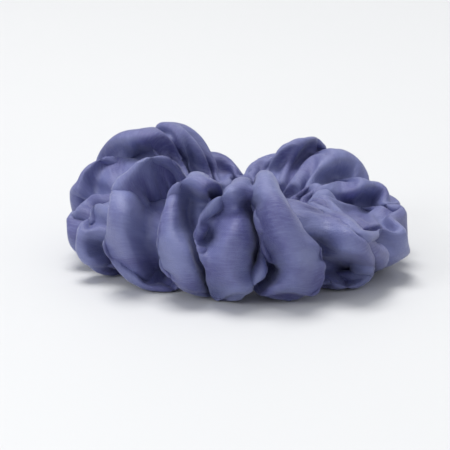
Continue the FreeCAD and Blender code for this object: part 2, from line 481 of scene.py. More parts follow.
def fold_in(
    grid: np.ndarray, creases: Iterable[Crease], view: FrontView, easing: int = 0
) -> np.ndarray:
    """Presses creases into the cloth that faces the front.

    Args:
        grid: points as an array of along x around x 3.
        creases: the creases.
        view: the view they are drawn in.
        easing: how many times the depths are averaged with their neighbours.

    Returns:
        The creased grid.
    """
    look = view.look()
    facing = np.clip(-(grid_outward(grid) @ look) / FACING_FADE + FACING_START, 0, 1)
    from_axis = np.hypot(grid[..., 0], grid[..., 1])
    from_band = np.hypot(from_axis - BAND_RADIUS, grid[..., 2] - BAND_HEIGHT)
    seen = view.seen(grid)
    moved = np.zeros(grid.shape[:2])
    for crease in creases:
        near = np.exp(-(off_line(seen, crease.line) / crease.width) ** 2)
        low, high = crease.reach.value
        behind = grid[..., 1] / MM
        within = np.clip((behind - low) / REACH_FADE, 0, 1) * np.clip((high - behind) / REACH_FADE, 0, 1)
        moved += crease.depth * MM * near * within
    moved = eased(np.minimum(moved * facing, np.maximum(from_band - BAND_ROOM, 0)), easing)
    return grid + moved[..., None] * look


@dataclass
class GatheredLayout:
    """Where the gathered tube's cloth lies before it settles."""

    along: int = 192
    around: int = 60
    seam_radius: float = 22.6 * MM
    seam_height: float = BAND_HEIGHT
    closing_turn: float = 212.0
    front_share: float = 0.45
    over_band: float = 7.5 * MM
    band_fade: float = 5.0 * MM
    inner_reach: float = 26.0 * MM
    tuck_drop: float = 0.38
    tuck_draw: float = 0.5
    fullness: float = 0.75
    sway: float = 0.035
    ripple: float = 1.2 * MM
    puffs: Sequence[Puff] = (
        Puff(2, 20, 60, 0.50, 1.2, 4),
        Puff(20, 27, 59, 0.45, 1.2, -6),
        Puff(40, 35, 58, 0.20, 1.2, -6),
        Puff(61, 37, 57, 0.15, 1.2, -6),
        Puff(81, 29, 53, 1.00, 1.2, 0),
        Puff(98, 30, 53, 0.20, 1.2, 4),
        Puff(121, 43, 57, 0.12, 1.3, 6),
        Puff(147, 43, 59, 0.30, 1.3, 6),
        Puff(168, 36, 61, 0.60, 1.3, 4),
        Puff(187, 26, 62, 0.80, 1.2, 0),
        Puff(206, 29, 61, 0.90, 1.2, 0),
        Puff(229, 46, 61, 1.00, 1.3, -8),
        Puff(251, 42, 62, 0.60, 1.4, -4),
        Puff(267.5, 40, 64, 0.50, 1.4, 4),
        Puff(286, 43, 65, 0.90, 1.3, -6),
        Puff(307, 32, 62, 0.60, 1.3, -16),
        Puff(325, 26, 61, 0.55, 1.3, -18),
        Puff(344, 21, 61, 0.70, 1.2, -12),
    )
    creases: Sequence[Crease] = (
        # the pocket at the left: its hollow and its two rims
        Crease(((-39.2, 15.9), (-34.7, 17.0), (-27.7, 15.6), (-23.2, 15.6)), 5.0, 17.0, Reach.FRONT),
        Crease(
            ((-44.0, 14.9), (-42.3, 12.5), (-39.2, 11.4), (-34.7, 11.4), (-29.5, 12.1), (-26.0, 12.8)),
            1.8, -2.5, Reach.FRONT, 1.5,
        ),
        Crease(
            ((-43.3, 18.4), (-39.2, 21.5), (-32.9, 22.5), (-24.3, 21.5), (-19.8, 18.4)),
            2.0, -2.0, Reach.FRONT,
        ),
        # the valleys beside the pocket's lobe and the next one
        Crease(
            ((-26.0, 11.4), (-27.4, 3.5), (-28.4, -5.2), (-26.0, -12.8), (-22.5, -19.1)),
            3.0, 13.0, Reach.FRONT, 1.3,
        ),
        Crease(
            ((-45.4, 12.1), (-45.8, 4.5), (-44.0, -3.8), (-38.8, -10.7), (-32.9, -17.7), (-28.1, -23.9)),
            2.6, 11.0, Reach.FRONT,
        ),
        Crease(
            ((-18.4, 16.3), (-21.8, 6.9), (-23.6, -3.5), (-23.6, -12.8), (-20.5, -20.5)),
            2.2, 6.0, Reach.FRONT,
        ),
        # the lobe with the teardrop hollow, its rim, and the arch over the dish
        Crease(((-12.1, 9.7), (-13.2, 5.2), (-12.8, 0.0), (-11.8, -2.1)), 3.2, 14.0, Reach.FRONT, 1.7),
        Crease(
            ((-10.1, 12.1), (-14.2, 7.6), (-15.9, 1.7), (-14.2, -3.5), (-11.1, -4.5), (-9.0, -1.4)),
            1.5, -2.2, Reach.FRONT, 1.6,
        ),
        Crease(
            ((-9.4, -3.8), (-11.1, 3.1), (-10.7, 9.0), (-6.6, 12.5), (-1.4, 12.8),
             (2.8, 9.4), (4.5, 4.2), (2.1, -2.8), (-1.0, -7.3)),
            2.6, -4.5, Reach.FRONT, 1.9,
        ),
        Crease(
            ((-6.9, 6.6), (-3.5, 7.6), (0.0, 5.9), (-3.5, 1.0), (-4.9, -5.2)),
            4.2, 8.0, Reach.FRONT, 1.9,
        ),
        # the valley right of it, and the long edge of the middle lobe
        Crease(((-6.2, -5.2), (-4.5, -12.8), (-3.1, -21.8), (-1.4, -27.0)), 2.4, 10.0, Reach.FRONT),
        Crease(
            ((6.2, 11.4), (5.2, 5.2), (3.1, -3.5), (2.4, -8.7),
             (4.5, -14.9), (9.4, -19.8), (17.3, -23.9), (26.0, -26.7)),
            1.6, 3.0, Reach.FRONT, 1.7,
        ),
        # the valley and the small cave under the middle lobe, with its rim and ledge
        Crease(((8.3, 6.9), (11.1, 1.7), (12.5, -4.5), (12.8, -8.7)), 2.4, 12.0, Reach.FRONT),
        Crease(((10.7, -15.6), (12.8, -13.2), (14.9, -11.1)), 4.2, 18.0, Reach.FRONT, 1.4),
        Crease(((7.6, -12.8), (8.3, -17.3), (11.4, -20.8), (16.3, -21.1)), 1.8, -2.5, Reach.FRONT),
        Crease(((12.8, -9.4), (17.3, -10.7), (20.1, -13.2)), 1.6, -2.5, Reach.FRONT),
        # the right lobe's own fold, and the valley and shoulder beside it
        Crease(((18.0, -12.8), (20.1, -19.1), (22.9, -23.9)), 2.6, 4.0, Reach.FRONT),
        Crease(
            ((34.3, 3.8), (35.7, -1.0), (33.3, -7.3), (31.5, -14.9), (30.8, -23.2)),
            2.4, 12.0, Reach.FRONT,
        ),
        Crease(((30.2, 4.2), (29.5, -0.3), (30.2, -5.2)), 1.7, 5.0, Reach.FRONT),
        # the long ridge down to the right end, its lip, and the opening and loop below it
        Crease(
            ((35.7, 4.5), (42.3, 1.0), (49.2, -4.5), (55.5, -10.4), (58.2, -14.9)),
            4.0, -6.0, Reach.FRONT,
        ),
        Crease(
            ((38.8, -12.1), (41.6, -8.7), (47.5, -10.7), (53.7, -14.9), (57.2, -18.7)),
            1.6, -3.0, Reach.FRONT, 1.5,
        ),
        Crease(((40.2, -14.2), (44.0, -14.9), (48.9, -17.7), (54.4, -20.5)), 3.6, 16.0, Reach.FRONT, 1.3),
        Crease(((38.1, -21.8), (38.5, -14.9), (39.9, -9.4)), 2.0, -4.0, Reach.FRONT),
        # the cup at the right end and its rim
        Crease(((55.1, -2.8), (58.6, -5.5), (53.7, -5.9)), 3.2, 7.0, Reach.RIGHT_END),
        Crease(
            ((51.0, 2.4), (58.6, 2.1), (62.0, -2.4), (62.7, -7.6), (58.9, -11.4)),
            1.9, -2.5, Reach.RIGHT_END,
        ),
        # the left dome: a valley under its ridge, and the valleys and folds at the left end
        Crease(
            ((-36.4, 22.5), (-29.5, 25.0), (-20.8, 25.3), (-12.1, 22.5), (-3.5, 16.6)),
            2.4, 12.0, Reach.REAR,
        ),
        Crease(
            ((-37.8, 25.3), (-29.5, 28.1), (-20.5, 28.4), (-10.7, 25.6), (-1.7, 19.1)),
            3.0, -4.0, Reach.REAR,
        ),
        Crease(((-46.8, 11.4), (-44.4, 17.7), (-39.9, 22.2)), 2.4, 10.0, Reach.LEFT_SIDE),
        Crease(((-53.0, 0.3), (-47.5, 4.5), (-43.3, 5.9)), 2.2, 6.0, Reach.LEFT_SIDE),
        Crease(((-46.1, -6.6), (-41.9, -7.3), (-37.8, -8.7)), 2.4, 5.0, Reach.LEFT_END),
        # the fold where the left dome meets the hole
        Crease(((-10.1, 31.5), (-5.9, 26.0), (-1.0, 19.1), (3.8, 13.5)), 2.0, 3.0, Reach.REAR),
        # the right dome: its valleys, hollow and small folds
        Crease(((12.8, 10.1), (16.6, 17.7), (22.5, 21.1), (32.2, 25.6)), 2.4, 10.0, Reach.REAR),
        Crease(((31.5, 12.1), (35.0, 14.2), (39.2, 15.6)), 3.4, 13.0, Reach.REAR),
        Crease(((31.5, 7.3), (41.6, 7.6), (50.3, 5.9)), 2.4, 10.0, Reach.RIGHT_SIDE),
        Crease(((39.9, 26.0), (46.1, 22.5), (51.0, 18.4)), 2.2, 3.0, Reach.REAR),
        Crease(((53.0, 12.1), (52.0, 3.8)), 1.8, 4.0, Reach.REAR),
    )
    view: FrontView = field(default_factory=FrontView)
    narrowest_laid: float = 1.7
    laid_width: float = 1.2
    laid_depth: float = 1.15
    settled_depth: float = 0.5
    settled_rear: float = 0.6

    def broad_creases(self) -> list[Crease]:
        """The creases that the cloth is laid with: the broader ones, wider and deeper than drawn."""
        broad = [crease for crease in self.creases if crease.width >= self.narrowest_laid]
        return [crease.pressed(self.laid_width, self.laid_depth) for crease in broad]

    def crisp_creases(self) -> list[Crease]:
        """The creases that are pressed in once the cloth has settled: all, and fainter at the back."""
        made = []
        for crease in self.creases:
            share = 1.0 if crease.reach is Reach.FRONT else self.settled_rear
            made.append(crease.pressed(1.0, crease.crisp * self.settled_depth * share))
        return made

    def uneven(self, seed: int, waves_along: int, waves_around: int) -> np.ndarray:
        """Smooth unevenness over the cloth, from a few waves.

        Args:
            seed: picks the waves.
            waves_along: the most waves along the strip.
            waves_around: the most waves around the tube.

        Returns:
            A grid of numbers of about unit size.
        """
        pick = np.random.default_rng(seed)
        u = np.arange(self.along)[:, None] / self.along * 2 * np.pi
        v = np.arange(self.around)[None, :] / self.around * 2 * np.pi
        total = np.zeros((self.along, self.around))
        waves = 14
        for _ in range(waves):
            a = pick.integers(-waves_along, waves_along + 1)
            b = pick.integers(-waves_around, waves_around + 1)
            total += np.cos(a * u + b * v + pick.uniform(0, 2 * np.pi))
        return total / math.sqrt(waves / 2)

    def points(self) -> np.ndarray:
        """Lays the cloth in its puffs.

        Returns:
            Points as an array of along x around x 3, in metres, with the closing seam at row 0 and
            the long seam at column 0.
        """
        count = len(self.puffs)
        turn = np.array([p.turn for p in self.puffs], float)
        following = np.roll(turn, -1)
        following[-1] += 360
        tuck_turn = (turn + following) / 2
        before = np.roll(tuck_turn, 1)
        before[0] -= 360
        width = tuck_turn - before
        top = np.array([p.top for p in self.puffs]) * MM
        reach = np.array([p.reach for p in self.puffs]) * MM
        tuck = np.array([p.tuck for p in self.puffs])
        billow = np.array([p.billow for p in self.puffs])
        lean = np.radians([p.lean for p in self.puffs])
        share = width ** 0.6 * (0.6 + 0.4 * top / top.mean())
        share *= 1 + self.front_share * np.clip(-np.sin(np.radians(turn)), 0, 1)
        ends = np.concatenate([[0], np.cumsum(share)]) / share.sum()

        u = (np.arange(self.along) + 0.5) / self.along
        k = np.clip(np.searchsorted(ends, u, side="right") - 1, 0, count - 1)
        w = (u - ends[k]) / (ends[k + 1] - ends[k]) * 2 - 1
        depth = np.where(w > 0, tuck[k], tuck[(k - 1) % count])
        beside = np.where(w > 0, (k + 1) % count, (k - 1) % count)
        full = ((1 + np.cos(np.pi * w)) / 2) ** self.fullness
        tucked_top = (top[k] + top[beside]) / 2 * (1 - self.tuck_drop * depth)
        past_inner = (reach[k] + reach[beside]) / 2 - self.inner_reach
        tucked_reach = self.inner_reach + past_inner * (1 - self.tuck_draw * depth)
        upper = tucked_top + (top[k] - tucked_top) * full
        outer = tucked_reach + (reach[k] - tucked_reach) * full
        lower = 1 * MM + (1 - full) * 6 * MM * depth

        phi = (np.arange(self.around) / self.around * 2 * np.pi)[None, :]
        half_height = ((upper - lower) / 2)[:, None]
        middle = lower[:, None] + half_height
        radius = self.seam_radius + ((outer - self.seam_radius) / 2)[:, None] * (1 - np.cos(phi))
        height = middle + half_height * np.sin(phi)
        near_seam = np.clip((np.cos(phi) - 0.3) / 0.7, 0, 1) ** 1.5
        drawn = self.seam_height + 0.35 * (height - self.seam_height)
        height = height * (1 - near_seam) + drawn * near_seam

        near_band = np.exp(-(((radius - BAND_RADIUS) / self.band_fade) ** 2))
        clear = self.over_band * (near_band * np.clip(np.abs(np.sin(phi)) / 0.3, 0, 1))
        height = np.where(
            np.sin(phi) > 0,
            np.maximum(height, self.seam_height + clear),
            np.minimum(height, self.seam_height - clear),
        )

        outward = (1 - np.cos(phi)) / 2
        base = np.where(w < 0, turn[k] + w * (turn[k] - before[k]), turn[k] + w * (tuck_turn[k] - turn[k]))
        spread = np.radians((tuck_turn[k] - before[k]) / 2)[:, None] * np.sin(np.pi * w)[:, None] / np.pi
        angle = np.radians(base)[:, None] + spread * billow[k][:, None] * outward ** 0.7
        level = np.clip((height - middle) / half_height, -1, 1)
        angle = angle + (lean[k] * full)[:, None] * level * outward ** 0.5
        angle = angle + self.sway * self.uneven(4, 9, 2) * outward ** 0.5
        radius = radius + self.ripple * self.uneven(5, 12, 2) * outward
        grid = np.stack([radius * np.cos(angle), radius * np.sin(angle), height], -1)

        grid = fold_in(grid, self.broad_creases(), self.view)
        grid[..., 2] = np.maximum(grid[..., 2], CLOTH_FLOOR)
        first = int(np.argmin(np.abs(np.radians(base - self.closing_turn))))
        return np.roll(grid, -first, axis=0)


@dataclass
class ClothSettle:
    """Lets the laid-out cloth settle: a position-based simulation on a grid that closes both ways."""

    slack: float = 0.7
    stiffness: float = 0.25
    steps: int = 200
    swell: float = 0.03 * MM
    weight: float = 0.01 * MM
    hold: float = 0.20
    hold_spread: tuple[float, float] = (1.6, 1.8)
    layer_gap: float = 1.9 * MM
    lookout: float = 1.6
    parting: float = 0.3
    carry: float = 0.85
    pressing: float = 0.5
    top_speed: float = 0.6 * MM
    band_half: tuple[float, float] = (2.4 * MM, 5.4 * MM)
    links: list[tuple[np.ndarray, np.ndarray, np.ndarray, float, float]] = field(default_factory=list)

    def load(self, grid: np.ndarray) -> None:
        """Takes the laid-out cloth and works out its links.

        Args:
            grid: points as an array of along x around x 3.
        """
        self.rows, self.columns = grid.shape[:2]
        self.start = grid
        self.spots = grid.reshape(-1, 3).copy()
        self.target = self.spots.copy()
        self.number = np.arange(self.rows * self.columns).reshape(self.rows, self.columns)
        self.free = np.ones(self.number.size)
        self.free[self.number[:, 0]] = 0
        along, around = CUT_LENGTH / self.rows, CUT_WIDTH / self.columns
        slanting = math.hypot(along, around)
        self.links = []
        for step, rest, pull, push in (
            ((1, 0), along, 1.0, self.stiffness),
            ((0, 1), around, 1.0, self.stiffness),
            ((1, 1), slanting, 0.4, 0.10),
            ((1, -1), slanting, 0.4, 0.10),
            ((2, 0), along, 0.0, 0.12),
            ((0, 2), around, 0.0, 0.12),
            ((4, 0), along * 0.8, 0.0, 0.06),
            ((0, 4), around * 0.8, 0.0, 0.06),
        ):
            self.add_links(step, rest, pull, push)
        across = np.fft.fftfreq(self.rows)[:, None] * self.hold_spread[0]
        down = np.fft.rfftfreq(self.columns)[None, :] * self.hold_spread[1]
        self.smoothing = np.exp(-2 * np.pi ** 2 * (across ** 2 + down ** 2))[..., None]

    def shifted(self, grid: np.ndarray, rows: int, columns: int) -> np.ndarray:
        """The grid seen from so many rows and columns further on."""
        return np.roll(np.roll(grid, -rows, 0), -columns, 1)

    def add_links(self, step: tuple[int, int], rest: float, pull: float, push: float) -> None:
        """Adds one family of links, in two batches that share no point.

        Args:
            step: rows and columns from one end of a link to the other.
            rest: the relaxed length of one grid step of it.
            pull: how firmly a link that is too long is shortened, from 0 to 1.
            push: how firmly one that is too short is lengthened.
        """
        rows, columns = step
        unit = (int(np.sign(rows)), int(np.sign(columns)))
        laid = np.linalg.norm(self.shifted(self.start, *unit) - self.start, axis=-1)
        each = (1 - self.slack) * laid + self.slack * rest
        span = max(abs(rows), abs(columns))
        total = sum(self.shifted(each, unit[0] * q, unit[1] * q) for q in range(span))
        other = self.shifted(self.number, rows, columns)
        counter = np.arange(self.rows)[:, None] if rows else np.arange(self.columns)[None, :]
        batch = np.broadcast_to(counter // span % 2, self.number.shape)
        for which in (0, 1):
            chosen = batch == which
            self.links.append((self.number[chosen], other[chosen], total[chosen], pull, push))

    def tighten(self) -> None:
        """Moves the ends of every link towards its relaxed length."""
        spots, free = self.spots, self.free
        for first, second, rest, pull, push in self.links:
            gap = spots[second] - spots[first]
            length = np.sqrt((gap * gap).sum(1)) + 1e-9
            excess = length - rest
            firmness = np.where(excess > 0, pull, push)
            one, two = free[first], free[second]
            gap *= (firmness * excess / length / np.maximum(one + two, 1e-9))[:, None]
            spots[first] += gap * one[:, None]
            spots[second] -= gap * two[:, None]

    def touching(self) -> tuple[np.ndarray, np.ndarray]:
        """Finds pairs of points of different layers that are near each other.

        Returns:
            The pairs' first and second points.
        """
        near = self.layer_gap * self.lookout
        cells = 1024
        cell = np.floor(self.spots / near).astype(np.int64) + cells // 2
        key = (cell[:, 0] * cells + cell[:, 1]) * cells + cell[:, 2]
        order = np.argsort(key, kind="stable")
        ranked = key[order]
        firsts, seconds = [], []
        for dx, dy, dz in (
            (0, 0, 0), (1, 0, 0), (0, 1, 0), (0, 0, 1), (1, 1, 0), (1, -1, 0), (1, 0, 1),
            (1, 0, -1), (0, 1, 1), (0, 1, -1), (1, 1, 1), (1, 1, -1), (1, -1, 1), (1, -1, -1),
        ):
            wanted = key + (dx * cells + dy) * cells + dz
            low = np.searchsorted(ranked, wanted, "left")
            found = np.searchsorted(ranked, wanted, "right") - low
            for q in range(int(found.max())):
                first = np.nonzero(found > q)[0]
                second = order[low[first] + q]
                if (dx, dy, dz) == (0, 0, 0):
                    later = second > first
                    first, second = first[later], second[later]
                gap = self.spots[first] - self.spots[second]
                close = (gap * gap).sum(1) < near * near
                firsts.append(first[close])
                seconds.append(second[close])
        first, second = np.concatenate(firsts), np.concatenate(seconds)
        rows = np.abs(first // self.columns - second // self.columns)
        rows = np.minimum(rows, self.rows - rows)
        columns = np.abs(first % self.columns - second % self.columns)
        columns = np.minimum(columns, self.columns - columns)
        apart = (rows > 2) | (columns > 2)
        edge_first = np.minimum(first % self.columns, self.columns - first % self.columns) < 3
        edge_second = np.minimum(second % self.columns, self.columns - second % self.columns) < 3
        apart &= ~(edge_first & edge_second)
        return first[apart], second[apart]

    def part_layers(self, pairs: tuple[np.ndarray, np.ndarray]) -> None:
        """Pushes layers apart that are nearer than the layer gap.

        Args:
            pairs: the pairs of points that touching found.
        """
        first, second = pairs
        gap = self.spots[second] - self.spots[first]
        length = np.sqrt((gap * gap).sum(1)) + 1e-9
        short = self.layer_gap - length
        hit = short > 0
        first, second = first[hit], second[hit]
        push = gap[hit] * (short[hit] / length[hit] * self.parting)[:, None]
        size = self.free.size
        crowd = np.bincount(first, minlength=size) + np.bincount(second, minlength=size)
        crowd = np.sqrt(np.maximum(crowd, 1))
        for axis in range(3):
            change = np.bincount(second, push[:, axis], size) - np.bincount(first, push[:, axis], size)
            self.spots[:, axis] += change / crowd * self.free

    def clear_band(self) -> None:
        """Keeps the cloth outside the elastic band that runs through it."""
        flat = np.hypot(self.spots[:, 0], self.spots[:, 1])
        off_radius = (flat - BAND_RADIUS) / self.band_half[0]
        off_height = (self.spots[:, 2] - BAND_HEIGHT) / self.band_half[1]
        depth = np.sqrt(off_radius ** 2 + off_height ** 2) + 1e-6
        inside = depth < 1
        grow = 1 / depth[inside]
        new_flat = BAND_RADIUS + off_radius[inside] * grow * self.band_half[0]
        self.spots[inside, :2] *= (new_flat / flat[inside])[:, None]
        self.spots[inside, 2] = BAND_HEIGHT + off_height[inside] * grow * self.band_half[1]

    def settle(self) -> np.ndarray:
        """Runs the simulation.

        Returns:
            The settled points, as an array of along x around x 3.
        """
        last = self.spots.copy()
        pairs = self.touching()
        for step in range(self.steps):
            drift = (self.spots - last) * self.carry
            speed = np.sqrt((drift * drift).sum(1))
            drift *= np.minimum(1, self.top_speed / np.maximum(speed, 1e-9))[:, None]
            last = self.spots.copy()
            facing = grid_outward(self.spots.reshape(self.rows, self.columns, 3)).reshape(-1, 3)
            self.spots += (drift + facing * self.swell) * self.free[:, None]
            self.spots[:, 2] -= self.weight * self.free
            astray = (self.target - self.spots).reshape(self.rows, self.columns, 3)
            waves = np.fft.rfft2(astray, axes=(0, 1)) * self.smoothing
            drawn = np.fft.irfft2(waves, s=(self.rows, self.columns), axes=(0, 1)).reshape(-1, 3)
            self.spots += drawn * (self.hold * self.free)[:, None]
            if step % 4 == 0:
                pairs = self.touching()
            for _ in range(2):
                self.tighten()
                self.part_layers(pairs)
            self.clear_band()
            low = self.spots[:, 2] < CLOTH_FLOOR
            self.spots[low, 2] = CLOTH_FLOOR
            self.spots[low, :2] = (self.spots[low, :2] + last[low, :2]) / 2
        return self.pressed(self.spots.reshape(self.rows, self.columns, 3))

    def pressed(self, grid: np.ndarray) -> np.ndarray:
        """The grid with its smallest crumples pressed out, as ironed satin has none."""
        across = np.fft.fftfreq(self.rows)[:, None]
        down = np.fft.rfftfreq(self.columns)[None, :]
        keep = np.exp(-2 * (np.pi * self.pressing) ** 2 * (across ** 2 + down ** 2))[..., None]
        return np.fft.irfft2(np.fft.rfft2(grid, axes=(0, 1)) * keep, s=grid.shape[:2], axes=(0, 1))


# ---------------------------------------------------------------- meshes and pieces


def new_piece(name: str, mesh: bpy.types.Mesh) -> bpy.types.Object:
    """Puts a mesh in the scene as an object at the origin.

    Args:
        name: the object's name.
        mesh: its mesh.

    Returns:
        The object.
    """
    piece = bpy.data.objects.new(name, mesh)
    bpy.context.scene.collection.objects.link(piece)
    return piece


def evaluated_mesh(piece: bpy.types.Object, name: str) -> bpy.types.Mesh:
    """The plain mesh that an object's modifiers give."""
    graph = bpy.context.evaluated_depsgraph_get()
    graph.update()
    mesh = bpy.data.meshes.new_from_object(piece.evaluated_get(graph))
    mesh.name = name
    return mesh


@dataclass
class StretchZone:
    """Where soft pieces pass from the plain end of the loop to its joined end."""

    plain: tuple[float, float, float] = (0.050, 0.0, 0.0)
    joined: tuple[float, float, float] = (-0.026, 0.0, 0.0)

    def spread(self, piece: bpy.types.Object) -> None:
        """Bakes a soft piece's place into its mesh."""
        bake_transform(piece)


@dataclass
class FabricCover:
    """The gathered satin tube."""

    layout: GatheredLayout = field(default_factory=GatheredLayout)
    settling: ClothSettle = field(default_factory=ClothSettle)
    cloth_thickness: float = 0.35 * MM
    ditch: float = 0.7 * MM
    long_allowance: float = 6.1 * MM
    closing_allowance: float = 4.0 * MM

    def build(self, satin: bpy.types.Material) -> bpy.types.Object:
        """Lays, settles and dresses the cover.

        Args:
            satin: the cover's material.

        Returns:
            The cover.
        """
        self.settling.load(self.layout.points())
        settled = finer_grid(self.settling.settle())
        self.grid = fold_in(settled, self.layout.crisp_creases(), self.layout.view, easing=2)
        self.rest_on_floor()
        self.normals = grid_outward(self.grid)
        self.sink_seams()
        self.rest_on_floor()
        mesh = self.weave_mesh()
        mesh.materials.append(satin)
        draft = new_piece("cover_draft", mesh)
        wall = draft.modifiers.new("wall", "SOLIDIFY")
        wall.thickness, wall.offset = self.cloth_thickness, -1
        wall.use_even_offset = False
        piece = new_piece("gathered_cover", evaluated_mesh(draft, "gathered_cover"))
        bpy.data.objects.remove(draft)
        piece.data.polygons.foreach_set("use_smooth", [True] * len(piece.data.polygons))
        return piece

    def rest_on_floor(self) -> None:
        """Raises what lies under the surface that the cloth rests on."""
        self.grid[..., 2] = np.maximum(self.grid[..., 2], CLOTH_FLOOR)

    def sink_seams(self) -> None:
        """Draws the cloth in along both seams, as a sewn seam does."""
        for row, share in ((0, 1.0), (1, 0.3), (-1, 0.3), (2, -0.1), (-2, -0.1)):
            self.grid[row] -= self.normals[row] * self.ditch * share
        for column, share in ((2, 0.3), (-2, 0.3)):
            self.grid[:, column] += self.normals[:, column] * self.ditch * share

    def weave_mesh(self) -> bpy.types.Mesh:
        """The grid as a closed mesh whose UV map weave is in metres of flat cloth.

        Returns:
            The mesh.
        """
        rows, columns = self.grid.shape[:2]
        number = np.arange(rows * columns).reshape(rows, columns)
        right, up = np.roll(number, -1, 0), np.roll(number, -1, 1)
        corner = np.roll(right, -1, 1)
        faces = np.stack([number, up, corner, right], -1).reshape(-1, 4)
        mesh = bpy.data.meshes.new("cover_grid")
        mesh.from_pydata(self.grid.reshape(-1, 3).tolist(), [], faces.tolist())
        i, j = np.meshgrid(np.arange(rows), np.arange(columns), indexing="ij")
        steps = np.stack([np.stack([i + a, j + b], -1) for a, b in ((0, 0), (0, 1), (1, 1), (1, 0))], -2)
        cut = np.array([CUT_LENGTH / rows, CUT_WIDTH / columns])
        layer = mesh.uv_layers.new(name="weave")
        layer.data.foreach_set("uv", (steps * cut).astype(np.float32).ravel())
        mesh.update()
        return mesh

    def flat_size(self) -> tuple[float, float]:
        """The strip's cut width and length, seam allowances included."""
        return (
            CUT_WIDTH + 2 * self.long_allowance,
            CUT_LENGTH + 2 * self.closing_allowance,
        )

    def seam_path(self, closing: bool, lift: float) -> tuple[np.ndarray, np.ndarray]:
        """A seam's line on the settled cloth.

        Args:
            closing: the closing seam if true, else the long seam.
            lift: how far outside the cloth the line runs.

        Returns:
            The line's points, and the cloth's outward direction at each.
        """
        line = self.grid[0] if closing else self.grid[:, 0]
        facing = self.normals[0] if closing else self.normals[:, 0]
        return line + facing * lift, facing


def open_tree(name: str, sockets: dict[str, str], result: str) -> bpy.types.NodeTree:
    """Starts a geometry node tree that takes a line.

    Args:
        name: the tree's name.
        sockets: each input's name, and the short name of its type.
        result: the output's name.

    Returns:
        The tree, with no nodes yet.
    """
    tree = bpy.data.node_groups.new(name, "GeometryNodeTree")
    tree.interface.new_socket("Line", in_out="INPUT", socket_type="NodeSocketGeometry")
    for socket, kind in sockets.items():
        tree.interface.new_socket(socket, in_out="INPUT", socket_type=f"NodeSocket{kind}")
    tree.interface.new_socket(result, in_out="OUTPUT", socket_type="NodeSocketGeometry")
    return tree


def run_tree(
    mesh: bpy.types.Mesh, tree: bpy.types.NodeTree, values: dict[str, object], name: str
) -> bpy.types.Object:
    """Runs a geometry node tree on a line and keeps the plain mesh that it gives.

    Args:
        mesh: the line.
        tree: the node tree.
        values: each input's name and value.
        name: the new piece's name.

    Returns:
        The piece.
    """
    draft = new_piece(f"{name}_draft", mesh)
    modifier = draft.modifiers.new("making", "NODES")
    modifier.node_group = tree
    for item in tree.interface.items_tree:
        if item.item_type == "SOCKET" and item.name in values:
            modifier[item.identifier] = values[item.name]
    piece = new_piece(name, evaluated_mesh(draft, name))
    bpy.data.objects.remove(draft)
    return piece


class StitchStyle(Enum):
    """How a row of stitches looks: a pitch and the share of it that each stitch covers."""

    RUNNING = (2.5 * MM, 0.80)
    EDGE = (2.2 * MM, 0.84)
    TACK = (1.1 * MM, 1.35)


